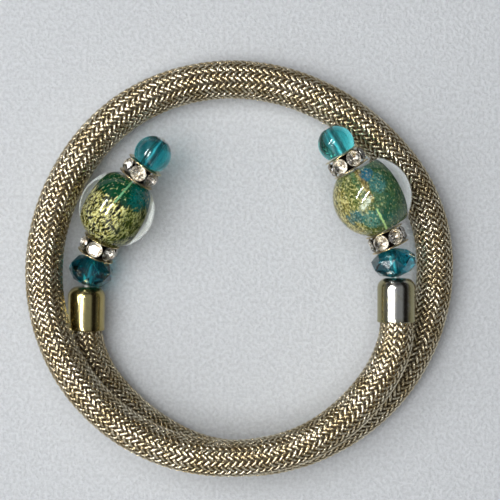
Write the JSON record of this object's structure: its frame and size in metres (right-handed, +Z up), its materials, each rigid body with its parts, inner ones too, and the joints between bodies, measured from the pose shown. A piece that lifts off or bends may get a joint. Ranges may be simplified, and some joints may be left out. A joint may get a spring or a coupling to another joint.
{
  "type": "memory-wire wrap bracelet",
  "caption": "Springy wire coil in a braided metal sleeve, worn wrapped round the wrist, its open ends finished with metal caps, foiled glass beads and rhinestone spacers.",
  "frame": {"origin": "on the surface that the bracelet lies on, under the middle of its outline", "axes": "+Z up through the wrist hollow; +Y from the overlapped stretch of the coil to the single far stretch; +X to the side of the upper end"},
  "size_m": [0.0709, 0.0694, 0.0171],
  "materials": {
    "braided_metal": "fine braided yarns of champagne-gold wire, satin, with dark gaps between the yarns",
    "spring_wire": "drawn spring steel",
    "gold_cap": "polished gold plate",
    "silver_cap": "polished, worn to a warm silver",
    "teal_crystal": "cut and polished crystal",
    "spacer_metal": "thin gold plate",
    "rhinestone": "clear cut crystal, foiled behind",
    "clear_glass": "clear, fire-polished",
    "gold_foil_glass": "dark green glass under crackled gold foil",
    "green_foil_glass": "green and teal glass with specks of gold foil",
    "teal_glass": "clear teal, smooth"
  },
  "bodies": {
    "root": {"mesh_sleeve": "braided_metal", "memory_wire": "spring_wire", "end_cap_left": "gold_cap", "end_cap_right": "silver_cap", "faceted_rondelle_left": "teal_crystal", "faceted_rondelle_right": "teal_crystal", "spacer_left_inner": "spacer_metal", "spacer_left_outer": "spacer_metal", "spacer_right_inner": "spacer_metal", "spacer_right_outer": "spacer_metal", "rhinestone_left_inner_1": "rhinestone", "rhinestone_left_inner_2": "rhinestone", "rhinestone_left_inner_3": "rhinestone", "rhinestone_left_inner_4": "rhinestone", "rhinestone_left_inner_5": "rhinestone", "rhinestone_left_inner_6": "rhinestone", "rhinestone_left_outer_1": "rhinestone", "rhinestone_left_outer_2": "rhinestone", "rhinestone_left_outer_3": "rhinestone", "rhinestone_left_outer_4": "rhinestone", "rhinestone_left_outer_5": "rhinestone", "rhinestone_left_outer_6": "rhinestone", "rhinestone_right_inner_1": "rhinestone", "rhinestone_right_inner_2": "rhinestone", "rhinestone_right_inner_3": "rhinestone", "rhinestone_right_inner_4": "rhinestone", "rhinestone_right_inner_5": "rhinestone", "rhinestone_right_inner_6": "rhinestone", "rhinestone_right_outer_1": "rhinestone", "rhinestone_right_outer_2": "rhinestone", "rhinestone_right_outer_3": "rhinestone", "rhinestone_right_outer_4": "rhinestone", "rhinestone_right_outer_5": "rhinestone", "rhinestone_right_outer_6": "rhinestone", "glass_casing_left": "clear_glass", "glass_casing_right": "clear_glass", "foil_core_left": "gold_foil_glass", "foil_core_right": "green_foil_glass", "tip_bead_left": "teal_glass", "tip_bead_right": "teal_glass"}
  },
  "joints": []
}
